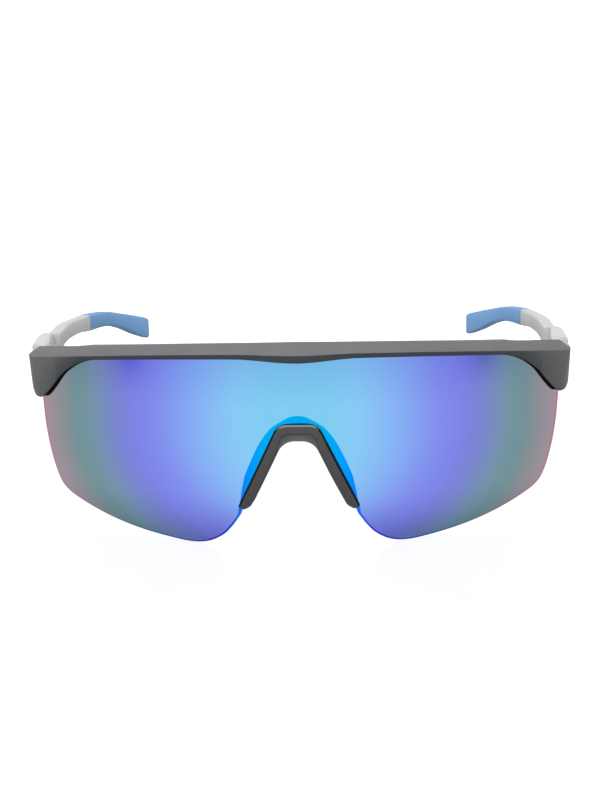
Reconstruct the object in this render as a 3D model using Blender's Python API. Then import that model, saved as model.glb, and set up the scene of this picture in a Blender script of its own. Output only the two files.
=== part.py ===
"""Shield sunglasses: one mirrored lens under a brow bar, two folding temples, a clipped nosepiece.

Everything is modelled as it is worn: x to the wearer's left, y to the rear, z up, with the origin midway
between the two end-piece corners. At the end the pair is tipped back on the lens and the temple tips, as it
lies on a table. All lengths are in metres.
"""

import math

import bmesh
import bpy
from mathutils import Matrix, Vector

# Gap between pieces that touch
seat_gap = 0.0003

# Lens
lens_drop = 0.0454
lens_thickness = 0.0020
lens_wrap_share = 0.63158
lens_side_radius = 0.1100
lens_equator_drop = 0.0100
lens_edge_setback = 0.0012
notch_bevel = 0.0028
lens_land = 0.0007

# Front: brow bar and end pieces
front_width = 0.1425
end_overhang = 0.00315
bar_arch = 0.00585
bar_arch_power = 2.5
bar_lip = 0.0018
bridge_bump = 0.0011
bridge_dip = 0.00045
bridge_bump_half_width = 0.0160
upper_facet_rise = 0.00265
upper_facet_rise_end = 0.0020
upper_facet_depth = 0.0030
bar_ridge_proud = 0.0022
end_ridge_proud = 0.0037
bar_lip_proud = 0.0007
end_lip_proud = 0.0010
bar_depth = 0.0050
bar_top_fall = 0.0010
seat_top_fall = 0.0020
lug_top_fall = 0.0002
groove_depth = 0.0019
groove_depth_end = 0.0013
bar_chamfer = 0.0004
bar_wall = 0.0012
bar_lip_wall = 0.0020
top_chamfer_depth_share = 0.33
end_drop = 0.0111
end_corner_radius = 0.0016
end_depth = 0.0065
side_draft = 0.080

# Nosepiece
nose_outer_drop = 0.0126
nose_outer_flat = 0.0029
nose_outer_radius = 0.0035
nose_outer_length = 0.0285
nose_inner_drop = 0.0177
nose_inner_flat = 0.0009
nose_inner_radius = 0.0045
nose_inner_length = 0.0211
nose_leg_turn = 64.55
nose_foot_length = 0.0013
carrier_top_width = 0.00254
carrier_leg_width = 0.0034
nose_front_proud = 0.0004
nose_carrier_depth = 0.0034
nose_rib_width = 0.0010
nose_rib_length = 0.0016
nose_round_share = 0.30
nose_end_turn = 82.0
pad_depth = 0.0070
pad_flare = 0.0034
pad_wall = 0.0009
pad_inner_flare_share = 0.30
pad_inner_bend_share = 0.45
pad_outer_flare_share = 0.45
pad_outer_bend_share = 0.50
pad_edge_share = 0.90

# Temples
temple_length = 0.1217
temple_straight = 0.0652
temple_hook_radius = 0.0920
temple_inset = 0.0009
temple_arm_thickness = 0.0037
temple_block_thickness = 0.0047
temple_cheek_thickness = 0.0021
temple_block_length = 0.0210
temple_drop = 0.0185
temple_edge_radius = 0.0008
tip_length = 0.0410
tip_wall = 0.0009
tang_length = 0.0240
tip_end_radius = 0.0014
tip_end_inset_share = 0.80
tip_end_turn = 85.0
tip_end_steps = 3

# Hinges
knuckle_radius = 0.0015
knuckle_height = 0.0019
middle_knuckle_height = 0.0022
knuckle_gap = 0.0003
hinge_drop = 0.0034
leaf_thickness = 0.0009
leaf_length = 0.0088
leaf_corner = 0.0009
knuckle_step = 0.0001
finger_start = 0.00023
pin_radius = 0.0006
pin_head_radius = 0.0011
pin_head_height = 0.0006
pin_slot_width = 0.0003
pin_point_share = 0.70
pin_crown_share = 0.75
pin_rim_share = 0.60
screw_radius = 0.0005
screw_head_radius = 0.0010
screw_head_height = 0.0005
screw_bite = 0.0014
screw_spacing = 0.0032
screw_crown_share = 0.70
screw_rim_share = 0.60
temple_fold_left = 88.0
temple_fold_right = 81.0

front_half = front_width / 2
lens_wrap_radius = front_width * lens_wrap_share
lens_half = front_half - end_overhang


def clear_scene():
    for item in list(bpy.data.objects):
        bpy.data.objects.remove(item, do_unlink=True)


def material(name, colour, roughness, metallic):
    finish = bpy.data.materials.new(name)
    finish.use_nodes = True
    shader = finish.node_tree.nodes["Principled BSDF"]
    shader.inputs["Base Color"].default_value = (*colour, 1.0)
    shader.inputs["Roughness"].default_value = roughness
    shader.inputs["Metallic"].default_value = metallic
    finish.diffuse_color = (*colour, 1.0)
    return finish


def smooth_step(low, high, value):
    share = min(max((value - low) / (high - low), 0.0), 1.0)
    return share * share * (3.0 - 2.0 * share)


def blend(start, end, share):
    return start + (end - start) * share


def through(rows, share):
    """Reads a table of shares smoothly: each row is a place and its values."""
    last = len(rows) - 1
    index = 0
    while index < last - 1 and rows[index + 1][0] < share:
        index += 1
    before, low = rows[max(index - 1, 0)], rows[index]
    high, after = rows[index + 1], rows[min(index + 2, last)]
    span = high[0] - low[0]
    t = min(max((share - low[0]) / span, 0.0), 1.0)
    values = []
    for k in range(1, len(low)):
        slope_low = (high[k] - before[k]) / (high[0] - before[0]) * span
        slope_high = (after[k] - low[k]) / (after[0] - low[0]) * span
        values.append((2 * t**3 - 3 * t**2 + 1) * low[k] + (t**3 - 2 * t**2 + t) * slope_low
                      + (3 * t**2 - 2 * t**3) * high[k] + (t**3 - t**2) * slope_high)
    return values


# The lens surface, which the front and the nosepiece follow

wrap_centre_y = lens_edge_setback + math.sqrt(lens_wrap_radius**2 - lens_half**2)


def wrap_y(x, proud=0.0):
    """Plan arc of the lens's front surface at its equator, or an arc that stands proud of it."""
    return wrap_centre_y - math.sqrt((lens_wrap_radius + proud) ** 2 - x * x)


def side_sag(z):
    return lens_side_radius - math.sqrt(lens_side_radius**2 - (z + lens_equator_drop) ** 2)


def lens_y(x, z, proud=0.0):
    return wrap_y(x, proud) + side_sag(z)


# The brow bar's lines, each a height at a distance x from the middle

def arch_z(x):
    return bar_arch * (1.0 - abs(x / front_half) ** bar_arch_power)


def bridge_share(x):
    return 1.0 - smooth_step(0.0, bridge_bump_half_width, abs(x))


def ridge_z(x):
    return arch_z(x) - bridge_dip * bridge_share(x)


def top_z(x):
    return arch_z(x) + blend(upper_facet_rise, upper_facet_rise_end, abs(x) / front_half)


def lip_z(x):
    return arch_z(x) - bar_lip - bridge_bump * bridge_share(x)


def groove_z(x):
    return lip_z(x) + blend(groove_depth, groove_depth_end, abs(x) / front_half)


# Lower edge of the lens from the middle of the nose notch to the outer side, in shares of half its width and
# of its drop, with the width of the bevel there as a share of the notch's bevel
lens_edge_shares = [
    (0.0000, 0.2300, 1.000), (0.0250, 0.2316, 0.950), (0.0458, 0.2385, 0.840), (0.0758, 0.2665, 0.680),
    (0.1012, 0.3050, 0.700), (0.1380, 0.3940, 0.870), (0.1887, 0.5518, 0.880), (0.2053, 0.6196, 0.780),
    (0.2142, 0.6848, 0.540), (0.2200, 0.7533, 0.500), (0.2230, 0.8060, 0.400), (0.2440, 0.8455, 0.230),
    (0.2683, 0.8920, 0.190), (0.3010, 0.9450, 0.160),
    (0.3495, 0.9879, 0.146), (0.4097, 0.9996, 0.146), (0.4993, 0.9824, 0.146), (0.6167, 0.9482, 0.146),
    (0.7342, 0.8987, 0.146), (0.8443, 0.8348, 0.146), (0.9119, 0.7797, 0.146), (0.9442, 0.7115, 0.146),
    (0.9721, 0.5749, 0.146), (0.9897, 0.4229, 0.146), (1.0000, 0.2797, 0.146),
]
# Upper outer corner of the lens, inside the end piece, for the last rows of the table above
lens_corner_shares = [
    (0.825, 0.000), (0.895, 0.010), (0.941, 0.050), (0.969, 0.103), (0.986, 0.158), (0.997, 0.212),
]
lens_steps_per_span = 2
lens_rows = 6


def bevel_places(bevel, clearance):
    """How far out of the front edge the bevel starts, and the depths of its two ends, on a grown lens."""
    depth = lens_thickness - lens_land
    slope = math.hypot(bevel, depth)
    start = clearance * (slope - bevel) / depth
    ledge_depth = (slope * clearance - (bevel + clearance) * depth) / bevel
    return start, ledge_depth


def lens_columns(clearance):
    """Top, front edge, back edge and ledge depth of each column, from the middle to the side."""
    spans = len(lens_edge_shares) - 1
    edge_rows = [(i / spans, *row) for i, row in enumerate(lens_edge_shares)]
    corner_start = len(lens_edge_shares) - len(lens_corner_shares)
    corner_x = lens_corner_shares[0][0] * lens_half
    corner_rows = [(0.0, corner_x / lens_half, -groove_z(corner_x) / lens_drop)]
    corner_rows += [(k + 1.0, *row) for k, row in enumerate(lens_corner_shares[1:])]
    steps = spans * lens_steps_per_span
    samples = [through(edge_rows, i / steps) for i in range(steps + 1)]
    columns = []
    for i, (across, down, bevel_share) in enumerate(samples):
        x, z = across * lens_half, -down * lens_drop
        ahead = samples[min(i + 1, len(samples) - 1)]
        behind = samples[i - 1] if i else (-ahead[0], ahead[1])
        along = Vector(((ahead[0] - behind[0]) * lens_half, -(ahead[1] - behind[1]) * lens_drop))
        outward = Vector((along.y, -along.x)).normalized()
        bevel = bevel_share * notch_bevel
        start, ledge_depth = bevel_places(bevel, clearance)
        front = Vector((x, z)) + outward * start
        back = Vector((x, z)) + outward * (bevel + clearance)
        place = i / lens_steps_per_span - corner_start
        if place <= 0:
            top = Vector((x, groove_z(x) + clearance))
        else:
            across, down = through(corner_rows, place)
            grow = 1.0 + clearance / lens_half
            top = Vector((across * lens_half * grow, -down * lens_drop + clearance))
        columns.append((top, front, back, ledge_depth))
    for point in columns[0][:3]:
        point.x = 0.0
    return columns


def add_ring_faces(mesh, ring, following):
    count = len(ring)
    for i in range(count):
        j = (i + 1) % count
        mesh.faces.new((ring[i], ring[j], following[j], following[i]))


def finish_mesh(mesh, name, smooth_angle=30.0):
    bmesh.ops.recalc_face_normals(mesh, faces=mesh.faces)
    data = bpy.data.meshes.new(name)
    mesh.to_mesh(data)
    mesh.free()
    data.shade_smooth()
    data.set_sharp_from_angle(angle=math.radians(smooth_angle))
    return data


def lens_mesh(name, clearance=0.0):
    """Closed shell between the front and back surfaces, whose lower edge has a bevel above a square land."""
    half = lens_columns(clearance)
    mesh = bmesh.new()
    rings = []
    places = [(-1.0, column) for column in reversed(half[1:])] + [(1.0, column) for column in half]
    for side, (top, front, back, ledge_depth) in places:
        places_down = [r / (lens_rows - 1) for r in range(lens_rows)]
        points = [(top.lerp(front, share), clearance) for share in places_down]
        points.append((back, ledge_depth))
        points += [(top.lerp(back, share), -lens_thickness - clearance) for share in reversed(places_down)]
        rings.append([mesh.verts.new((p.x * side, lens_y(p.x, p.y, proud), p.y)) for p, proud in points])
    for ring, following in zip(rings, rings[1:]):
        add_ring_faces(mesh, ring, following)
    for ring in (rings[0], rings[-1]):
        for r in range(lens_rows - 1):
            mesh.faces.new((ring[r], ring[r + 1], ring[-r - 2], ring[-r - 1]))
        mesh.faces.new(ring[lens_rows - 1:lens_rows + 2])
    return finish_mesh(mesh, name)


# Inner edge of the end piece: distance from where it leaves the bar, and how far it has dropped
end_edge_shares = [
    (0.00, 0.000), (0.155, 0.030), (0.313, 0.095), (0.465, 0.205), (0.623, 0.385), (0.80, 0.720), (0.93, 0.950),
    (1.00, 1.000),
]
end_edge_start_share = 0.741
end_edge_end_share = 0.958
rear_wall_start_share = 0.745
rear_wall_end_share = 0.815
seat_start_share = 0.790
seat_end_share = 0.926
lug_start_share = 0.940
top_chamfer_start_share = 0.960
front_station_shares = [
    0.0, 0.04, 0.08, 0.12, 0.16, 0.20, 0.25, 0.32, 0.39, 0.46, 0.53, 0.59, 0.65, 0.69, 0.72, 0.745, 0.768,
    0.79, 0.803, 0.815, 0.825, 0.835, 0.845, 0.855, 0.865, 0.875, 0.885, 0.895, 0.905, 0.915, 0.926, 0.933,
    0.94, 0.948, 0.956, 0.964, 0.972, 0.978,
]
corner_steps = 4

seat_start = Vector((seat_start_share * front_half, wrap_y(seat_start_share * front_half, -bar_depth)))
seat_end = Vector((seat_end_share * front_half, end_depth))
seat_along = (seat_end - seat_start).normalized()
seat_out = Vector((-seat_along.y, seat_along.x))


def end_edge_z(x):
    """Height of the visible lower edge, which runs from the bar down the end piece."""
    start, end = end_edge_start_share * front_half, end_edge_end_share * front_half
    share = min(max((abs(x) - start) / (end - start), 0.0), 1.0)
    drop = through(end_edge_shares, share)[0]
    return blend(lip_z(x), -end_drop, drop)


def corner_setback(x):
    """How far the rounded outer corner has turned back at x."""
    into = max(abs(x) - (front_half - end_corner_radius), 0.0)
    return end_corner_radius - math.sqrt(max(end_corner_radius**2 - into**2, 0.0))


def front_section(x):
    """Outline of the front in the vertical plane at x, from the ridge over the top to the lower lip."""
    share = x / front_half
    to_end = smooth_step(end_edge_start_share, end_edge_end_share, share)
    turn = corner_setback(x)
    ridge = ridge_z(x)
    chamfer = min(max((share - top_chamfer_start_share) / (1.0 - top_chamfer_start_share), 0.0), 1.0)
    top = blend(top_z(x), ridge + bar_chamfer, chamfer)
    ridge_y = wrap_y(x, blend(bar_ridge_proud, end_ridge_proud, share)) + turn
    depth = blend(upper_facet_depth, upper_facet_depth * top_chamfer_depth_share, chamfer)
    top_y = wrap_y(x, blend(bar_ridge_proud, end_ridge_proud, share) - depth)
    if share < seat_start_share:
        rear_y = wrap_y(x, -bar_depth)
    elif share < seat_end_share:
        rear_y = seat_start.y + (x - seat_start.x) * seat_along.y / seat_along.x
    else:
        rear_y = end_depth
    top_y = min(top_y, rear_y - bar_wall)
    fall = blend(bar_top_fall, seat_top_fall, smooth_step(rear_wall_start_share, seat_start_share, share))
    fall = blend(fall, lug_top_fall, smooth_step(seat_end_share, lug_start_share, share))
    fall = min(fall, top - ridge)
    low = end_edge_z(x) + turn
    to_wall = smooth_step(rear_wall_start_share, rear_wall_end_share, share)
    rear_low = blend(lip_z(x), -end_drop, to_wall) + turn
    lens_here = min(x, lens_half)
    middle_y = lens_y(lens_here, low, -lens_thickness / 2)
    lip_y = wrap_y(x, blend(bar_lip_proud, end_lip_proud, to_end)) + side_sag(low) * (1.0 - to_end) + turn
    lip_y = min(lip_y, rear_y - bar_lip_wall)
    middle_y = min(max(middle_y, lip_y + bar_chamfer), rear_y - bar_wall)
    return [
        (ridge_y, ridge), (top_y, top), (rear_y - bar_chamfer, top - fall),
        (rear_y, top - fall - bar_chamfer), (rear_y, rear_low + bar_chamfer), (rear_y - bar_chamfer, rear_low),
        (middle_y + bar_chamfer, rear_low), (middle_y, low), (lip_y + bar_chamfer, low), (lip_y, low + bar_chamfer),
    ]


def frame_front_mesh(name):
    """Brow bar and end pieces, lofted from one outer side to the other."""
    stations = [share * front_half for share in front_station_shares]
    for i in range(corner_steps + 1):
        turn = math.radians(90.0 * i / corner_steps)
        stations.append(front_half - end_corner_radius * (1.0 - math.sin(turn)))
    stations[-1] = front_half
    places = [-x for x in reversed(stations[1:])] + stations
    mesh = bmesh.new()
    rings = []
    for x in places:
        ring = []
        for y, z in front_section(abs(x)):
            lean = side_draft * max(-z, 0.0) * smooth_step(lug_start_share, 1.0, abs(x) / front_half)
            ring.append(mesh.verts.new((math.copysign(abs(x) - lean, x), y, z)))
        rings.append(ring)
    for ring, following in zip(rings, rings[1:]):
        add_ring_faces(mesh, ring, following)
    mesh.faces.new(rings[0])
    mesh.faces.new(rings[-1])
    return finish_mesh(mesh, name)


# Nosepiece: an inverted U between its outer edge, which covers the notch's bevel, and its opening

nose_corner_steps = 12
nose_leg_steps = 6
nose_end_steps = 4
nose_corner_outer_share = 0.40
nose_corner_inner_share = 0.286
nose_corner_leg_share = 0.45


def along_u(drop, flat, radius, distance):
    """Place at a distance along half of a U: its flat top, its corner and its straight leg."""
    if distance <= flat:
        return Vector((distance, -drop))
    turn = math.radians(nose_leg_turn)
    bend = min((distance - flat) / radius, turn)
    place = Vector((flat + radius * math.sin(bend), -drop - radius * (1.0 - math.cos(bend))))
    leg = distance - flat - bend * radius
    return place + leg * Vector((math.cos(turn), -math.sin(turn)))


def nose_stations():
    """Half of the U from its middle to its foot: places on the two edges, width share, leg share."""
    rows = []
    for i in range(nose_corner_steps + 1):
        share = i / nose_corner_steps
        turned = smooth_step(0.0, 1.0, share)
        rows.append((nose_corner_outer_share * share, nose_corner_inner_share * share, 0.0, 1.0,
                     nose_corner_leg_share * turned))
    for i in range(1, nose_leg_steps + 1):
        share = i / nose_leg_steps
        rows.append((blend(nose_corner_outer_share, 1.0, share), blend(nose_corner_inner_share, 1.0, share),
                     0.0, 1.0, blend(nose_corner_leg_share, 1.0, share)))
    for i in range(1, nose_end_steps + 1):
        bend = math.radians(nose_end_turn * i / nose_end_steps)
        rows.append((1.0, 1.0, nose_foot_length * math.sin(bend), math.cos(bend), 1.0))
    stations = []
    for outer_share, inner_share, foot, width_share, leg_share in rows:
        outer_run = nose_outer_length * outer_share + foot
        inner_run = nose_inner_length * inner_share + foot
        outer = along_u(nose_outer_drop, nose_outer_flat, nose_outer_radius, outer_run)
        inner = along_u(nose_inner_drop, nose_inner_flat, nose_inner_radius, inner_run)
        stations.append((outer, inner, width_share, leg_share))
    return stations


def sweep_nose(name, section):
    """Sweeps section(width, leg share), a list of places inward from the outer edge and rearward."""
    half = nose_stations()
    mesh = bmesh.new()
    rings = []
    stations = [(s, -1.0) for s in reversed(half[1:])] + [(s, 1.0) for s in half]
    for (outer, inner, width_share, leg_share), side in stations:
        width = (inner - outer).length
        inward = (inner - outer) / width
        middle = (outer + inner) / 2
        ring = []
        for across, back in section(width, leg_share):
            p = middle + inward * (across - width / 2) * width_share
            y = lens_y(middle.x, middle.y) + back
            ring.append(mesh.verts.new((p.x * side, y, p.y)))
        rings.append(ring)
    for ring, following in zip(rings, rings[1:]):
        add_ring_faces(mesh, ring, following)
    mesh.faces.new(rings[0])
    mesh.faces.new(rings[-1])
    return finish_mesh(mesh, name)


def carrier_width(leg_share):
    return blend(carrier_top_width, carrier_leg_width, leg_share)


def carrier_section(_, leg_share):
    """Grip with a rounded front face and a narrow rib behind, which the pad slips over."""
    width = carrier_width(leg_share)
    low, high = (width - nose_rib_width) / 2, (width + nose_rib_width) / 2
    round_off = width / 2 * nose_round_share
    front, rear = -nose_front_proud, nose_carrier_depth
    return [
        (round_off, front), (width - round_off, front), (width, front + round_off), (width, rear),
        (high, rear), (high, rear + nose_rib_length), (low, rear + nose_rib_length), (low, rear),
        (0.0, rear), (0.0, front + round_off),
    ]


def pad_section(width, leg_share):
    """Saddle with a slot for the rib, whose wings spread towards the face."""
    carrier = carrier_width(leg_share)
    slot_low = (carrier - nose_rib_width) / 2 - seat_gap
    slot_high = (carrier + nose_rib_width) / 2 + seat_gap
    front = nose_carrier_depth + seat_gap
    slot_end = nose_carrier_depth + nose_rib_length + seat_gap
    rear = front + pad_depth
    flare = pad_flare * leg_share
    edge = carrier / 2 * pad_edge_share
    return [
        (0.0, front), (slot_low, front), (slot_low, slot_end), (slot_high, slot_end), (slot_high, front),
        (width, front), (width - flare * pad_inner_flare_share, blend(front, rear, pad_inner_bend_share)),
        (width - flare, rear - pad_wall), (width - flare - edge, rear), (-flare, rear - 2 * pad_wall),
        (-flare * pad_outer_flare_share, blend(front, rear, pad_outer_bend_share)),
    ]


# Temple: place along the arm, then its top and bottom in shares of the drop at the tip, then how much of the
# block's extra height is left
temple_profile_shares = [
    (0.000, -0.114, 0.508), (0.058, -0.141, 0.465), (0.107, -0.138, 0.390), (0.164, -0.070, 0.300),
    (0.205, -0.038, 0.250), (0.255, -0.020, 0.238), (0.337, 0.000, 0.255), (0.468, 0.097, 0.341),
    (0.583, 0.189, 0.432), (0.678, 0.238, 0.514), (0.748, 0.286, 0.541), (0.813, 0.341, 0.584),
    (0.879, 0.438, 0.697), (0.937, 0.530, 0.854), (1.000, 0.640, 1.000),
]
temple_station_count = 30
temple_start_y = end_depth + seat_gap


def temple_outer_x(distance):
    return front_half - temple_inset * smooth_step(0.0, temple_block_length, distance)


def temple_place(distance):
    """Plan place and heading of the outer face at a distance along the arm."""
    if distance <= temple_straight:
        return Vector((temple_outer_x(distance), temple_start_y + distance)), 0.0
    turn = (distance - temple_straight) / temple_hook_radius
    x = front_half - temple_inset - temple_hook_radius * (1.0 - math.cos(turn))
    return Vector((x, temple_start_y + temple_straight + temple_hook_radius * math.sin(turn))), turn


def rounded_section(outer, inner, bottom, top, radius):
    """Rounded rectangle, as places inward from the outer face and heights."""
    points = []
    corners = [(inner, top, 0.0), (outer, top, 90.0), (outer, bottom, 180.0), (inner, bottom, 270.0)]
    for across, height, start in corners:
        centre_a = across - radius if across == inner else across + radius
        centre_h = height - radius if height == top else height + radius
        for step in (0.0, 45.0, 90.0):
            angle = math.radians(start + step)
            points.append((centre_a + radius * math.cos(angle), centre_h + radius * math.sin(angle)))
    return points


def temple_section(distance, inset=0.0):
    """Points of the arm's outline at a distance, drawn in by an inset."""
    profile = through(temple_profile_shares, distance / temple_length)
    top, bottom = (-share * temple_drop for share in profile)
    inner = temple_arm_thickness
    if distance < temple_block_length:
        block_end = temple_inset + temple_cheek_thickness
        inner_x = front_half - blend(temple_block_thickness, block_end, distance / temple_block_length)
        inner = temple_outer_x(distance) - inner_x
    place, turn = temple_place(distance)
    inward = Vector((-math.cos(turn), -math.sin(turn)))
    radius = max(temple_edge_radius - inset / 2, seat_gap)
    ring = []
    for across, height in rounded_section(inset, inner - inset, bottom + inset, top - inset, radius):
        p = place + inward * across
        lean = side_draft * max(-height, 0.0) * (1.0 - smooth_step(0.0, temple_block_length, distance))
        ring.append(Vector((p.x - lean * (1.0 - across / inner), p.y, height)))
    return ring


def loft(mesh, sections, close_start=True, close_end=True):
    rings = [[mesh.verts.new(p) for p in section] for section in sections]
    for ring, following in zip(rings, rings[1:]):
        add_ring_faces(mesh, ring, following)
    if close_start:
        mesh.faces.new(rings[0])
    if close_end:
        mesh.faces.new(rings[-1])
    return rings


tip_start = temple_length - tip_length


def temple_mesh():
    """Block, arm and the tang that the tip is pulled over."""
    step_start, step_end = temple_block_length - seat_gap, temple_block_length
    places = [tip_start * i / temple_station_count for i in range(temple_station_count + 1)]
    places = [p for p in places if abs(p - temple_block_length) > 4 * seat_gap] + [step_start, step_end]
    sections = [temple_section(p) for p in sorted(places)]
    tang_inset = tip_wall + seat_gap
    steps = 8
    for i in range(steps + 1):
        sections.append(temple_section(tip_start + tang_length * i / steps, tang_inset))
    mesh = bmesh.new()
    loft(mesh, sections)
    return mesh


def tip_mesh():
    """Rubber sleeve with a blind pocket for the tang and a rounded end."""
    start = tip_start + seat_gap
    steps = 12
    run = temple_length - tip_end_radius
    sections = [temple_section(blend(start, run, i / steps)) for i in range(steps + 1)]
    for i in range(1, tip_end_steps + 1):
        bend = math.radians(tip_end_turn * i / tip_end_steps)
        inset = tip_end_radius * (1.0 - math.cos(bend)) * tip_end_inset_share
        sections.append(temple_section(run + tip_end_radius * math.sin(bend), inset))
    pocket_steps = 8
    pocket_end = tip_start + tang_length + seat_gap
    pocket = [temple_section(blend(start, pocket_end, i / pocket_steps), tip_wall)
              for i in range(pocket_steps + 1)]
    mesh = bmesh.new()
    outer_rings = loft(mesh, sections, close_start=False)
    inner_rings = loft(mesh, pocket, close_start=False)
    add_ring_faces(mesh, outer_rings[0], inner_rings[0])
    return mesh


# Hinge: the axis stands clear of the seat on the end piece's rear face and of the temple's front face

hinge_x = front_half - temple_block_thickness - knuckle_radius
hinge_seat_offset = seat_gap + leaf_thickness / 2 + knuckle_radius
hinge_reach = (hinge_x - seat_end.x - hinge_seat_offset * seat_out.x) / seat_along.x
hinge_y = seat_end.y + hinge_reach * seat_along.y + hinge_seat_offset * seat_out.y
hinge_axis = Vector((hinge_x, hinge_y))
hinge_height = 2 * knuckle_height + middle_knuckle_height + 2 * knuckle_gap
hinge_bottom = -hinge_drop - hinge_height / 2
bore_radius = pin_radius + knuckle_gap
round_steps = 20


def cylinder(mesh, radius, low, high, centre=(0.0, 0.0), steps=round_steps):
    rings = []
    for z in (low, high):
        ring = []
        for i in range(steps):
            angle = 2 * math.pi * i / steps
            ring.append(mesh.verts.new((centre[0] + radius * math.cos(angle),
                                        centre[1] + radius * math.sin(angle), z)))
        rings.append(ring)
    add_ring_faces(mesh, rings[0], rings[1])
    mesh.faces.new(rings[0])
    mesh.faces.new(rings[1])
    return mesh


def box(mesh, low, high):
    made = bmesh.ops.create_cube(mesh, size=1.0)["verts"]
    size = [b - a for a, b in zip(low, high)]
    middle = [(a + b) / 2 for a, b in zip(low, high)]
    bmesh.ops.scale(mesh, vec=size, verts=made)
    bmesh.ops.translate(mesh, vec=middle, verts=made)
    return mesh


def leaf_height(index):
    """Bottom and top of the lower, middle or upper knuckle."""
    lows = [hinge_bottom, hinge_bottom + knuckle_height + knuckle_gap,
            hinge_bottom + knuckle_height + middle_knuckle_height + 2 * knuckle_gap]
    heights = [knuckle_height, middle_knuckle_height, knuckle_height]
    return lows[index], lows[index] + heights[index]


# Directions of each leaf from the axis, and how far the face that carries it lies from the axis
block_inner_start = Vector((front_half - temple_block_thickness, temple_start_y))
block_end_x = front_half - temple_inset - temple_cheek_thickness
block_inner_end = Vector((block_end_x, temple_start_y + temple_block_length))
temple_along = (block_inner_end - block_inner_start).normalized()
temple_out = Vector((temple_along.y, -temple_along.x))
temple_seat_offset = (block_inner_start - hinge_axis).dot(temple_out)
leaf_frames = {
    "front": (-seat_along, -seat_out, hinge_seat_offset),
    "temple": (temple_along, temple_out, temple_seat_offset),
}
leaf_clear = knuckle_radius + 2 * knuckle_gap
screw_place = (leaf_clear + leaf_length) / 2
screw_heights = [-hinge_drop - screw_spacing / 2, -hinge_drop + screw_spacing / 2]


def to_hinge(mesh, which):
    """Moves a mesh drawn along the leaf, towards its seat and up into its place at the hinge."""
    along, towards, _ = leaf_frames[which]
    for vert in mesh.verts:
        p = hinge_axis + along * vert.co.x + towards * vert.co.y
        vert.co = Vector((p.x, p.y, vert.co.z))


def leaf_outline(which):
    """Outline of a leaf seen square on: places along it from the axis, and heights."""
    low, high = hinge_bottom + knuckle_step, hinge_bottom + hinge_height - knuckle_step
    far = [
        (leaf_length - leaf_corner, high), (leaf_length, high - leaf_corner),
        (leaf_length, low + leaf_corner), (leaf_length - leaf_corner, low),
    ]
    if which == "front":
        notch_low, notch_high = leaf_height(0)[1] - knuckle_step, leaf_height(2)[0] + knuckle_step
        near = [(finger_start, low), (finger_start, notch_low), (leaf_clear, notch_low), (leaf_clear, notch_high)]
        return near + [(finger_start, notch_high), (finger_start, high)] + far
    finger_low, finger_high = leaf_height(1)[0] + knuckle_step, leaf_height(1)[1] - knuckle_step
    near = [(leaf_clear, low), (leaf_clear, finger_low), (finger_start, finger_low), (finger_start, finger_high)]
    return near + [(leaf_clear, finger_high), (leaf_clear, high)] + far


def leaf_parts(which):
    """Plate with its fingers, the knuckles on them, and the holes through them, as separate meshes."""
    plate_outer = leaf_frames[which][2] - seat_gap
    plate_inner = plate_outer - leaf_thickness
    plate = bmesh.new()
    outline = leaf_outline(which)
    faces = (plate_inner, plate_outer)
    loft(plate, [[(along, across, height) for along, height in outline] for across in faces])
    knuckles = []
    for index in (0, 2) if which == "front" else (1,):
        low, high = leaf_height(index)
        knuckles.append(cylinder(bmesh.new(), knuckle_radius, low, high))
    reach = hinge_height / 2
    holes = [cylinder(bmesh.new(), bore_radius, hinge_bottom - reach, hinge_bottom + hinge_height + reach)]
    for height in screw_heights:
        holes.append(screw_hole(plate_inner - leaf_thickness, plate_outer + leaf_thickness, height))
    return plate, knuckles, holes


def screw_hole(start, end, height):
    """Clearance hole along the direction towards the seat."""
    hole = bmesh.new()
    cylinder(hole, screw_radius + seat_gap, start, end, (0.0, 0.0), 12)
    turn_towards_seat(hole, height)
    return hole


def turn_towards_seat(mesh, height):
    for vert in mesh.verts:
        x, y, z = vert.co
        vert.co = Vector((screw_place + x, z, height + y))


def screw_mesh(which, height):
    """Small pan-head screw through the leaf into its seat."""
    seat = leaf_frames[which][2]
    under_head = seat - 2 * seat_gap - leaf_thickness
    profile = [
        (0.0, under_head - screw_head_height),
        (screw_head_radius * screw_crown_share, under_head - screw_head_height),
        (screw_head_radius, under_head - screw_head_height * screw_rim_share),
        (screw_head_radius, under_head), (screw_radius, under_head),
        (screw_radius, seat + screw_bite - screw_radius), (0.0, seat + screw_bite),
    ]
    mesh = bmesh.new()
    turned(mesh, profile, 12)
    turn_towards_seat(mesh, height)
    return mesh


def turned(mesh, profile, steps):
    """Turns a profile of radii and heights, which starts and ends on the axis."""
    start = mesh.verts.new((0.0, 0.0, profile[0][1]))
    end = mesh.verts.new((0.0, 0.0, profile[-1][1]))
    rings = []
    for radius, height in profile[1:-1]:
        angles = [2 * math.pi * i / steps for i in range(steps)]
        rings.append([mesh.verts.new((radius * math.cos(a), radius * math.sin(a), height)) for a in angles])
    for ring, following in zip(rings, rings[1:]):
        add_ring_faces(mesh, ring, following)
    for i in range(steps):
        mesh.faces.new((start, rings[0][i], rings[0][(i + 1) % steps]))
        mesh.faces.new((end, rings[-1][(i + 1) % steps], rings[-1][i]))


def pin_mesh():
    """Hinge screw: a plain shank through the three knuckles under a low head."""
    top = hinge_bottom + hinge_height + seat_gap
    profile = [
        (0.0, hinge_bottom), (pin_radius * pin_point_share, hinge_bottom),
        (pin_radius, hinge_bottom + pin_radius * (1.0 - pin_point_share)), (pin_radius, top),
        (pin_head_radius, top), (pin_head_radius, top + pin_head_height * pin_rim_share),
        (pin_head_radius * pin_crown_share, top + pin_head_height), (0.0, top + pin_head_height),
    ]
    mesh = bmesh.new()
    turned(mesh, profile, 16)
    for vert in mesh.verts:
        vert.co += hinge_axis.to_3d()
    return mesh


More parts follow.
